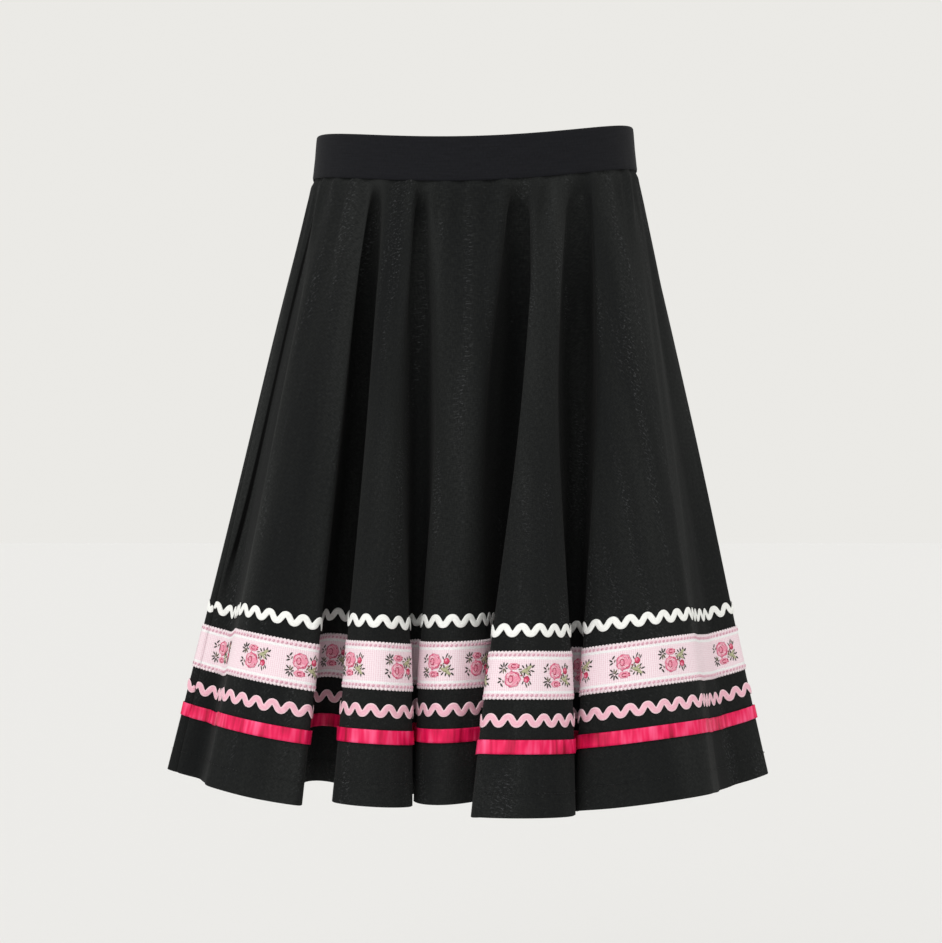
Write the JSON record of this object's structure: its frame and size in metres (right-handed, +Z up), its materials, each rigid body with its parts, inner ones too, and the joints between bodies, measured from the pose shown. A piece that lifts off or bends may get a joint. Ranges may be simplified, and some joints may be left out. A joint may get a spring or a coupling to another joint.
{
  "type": "dance skirt",
  "caption": "Flared knee-length dance skirt in dark cloth, with a wide elastic waistband, deep hanging folds and bands of ric-rac, flowered ribbon and satin near the hem.",
  "frame": {"origin": "centre of the waist, half way up the elastic waistband, where the wearer holds the skirt", "axes": "+Z up out of the waist, -Y towards the front, +X towards the right-hand side as seen from the front"},
  "size_m": [0.5246, 0.3769, 0.5834],
  "materials": {
    "band_elastic": "smooth ribbed black elastic",
    "black_cloth": "plain woven black cloth with a soft slub",
    "white_braid": "matt white woven braid",
    "pink_braid": "matt pink woven braid",
    "rose_jacquard": "pale pink woven ribbon with flowers",
    "magenta_satin": "glossy magenta satin"
  },
  "bodies": {
    "root": {"waistband": "band_elastic", "front_panel": "black_cloth", "back_panel": "black_cloth", "white_ricrac_front": "white_braid", "white_ricrac_back": "white_braid", "rose_ribbon_front": "rose_jacquard", "rose_ribbon_back": "rose_jacquard", "pink_ricrac_front": "pink_braid", "pink_ricrac_back": "pink_braid", "satin_ribbon_front": "magenta_satin", "satin_ribbon_back": "magenta_satin"}
  },
  "joints": []
}
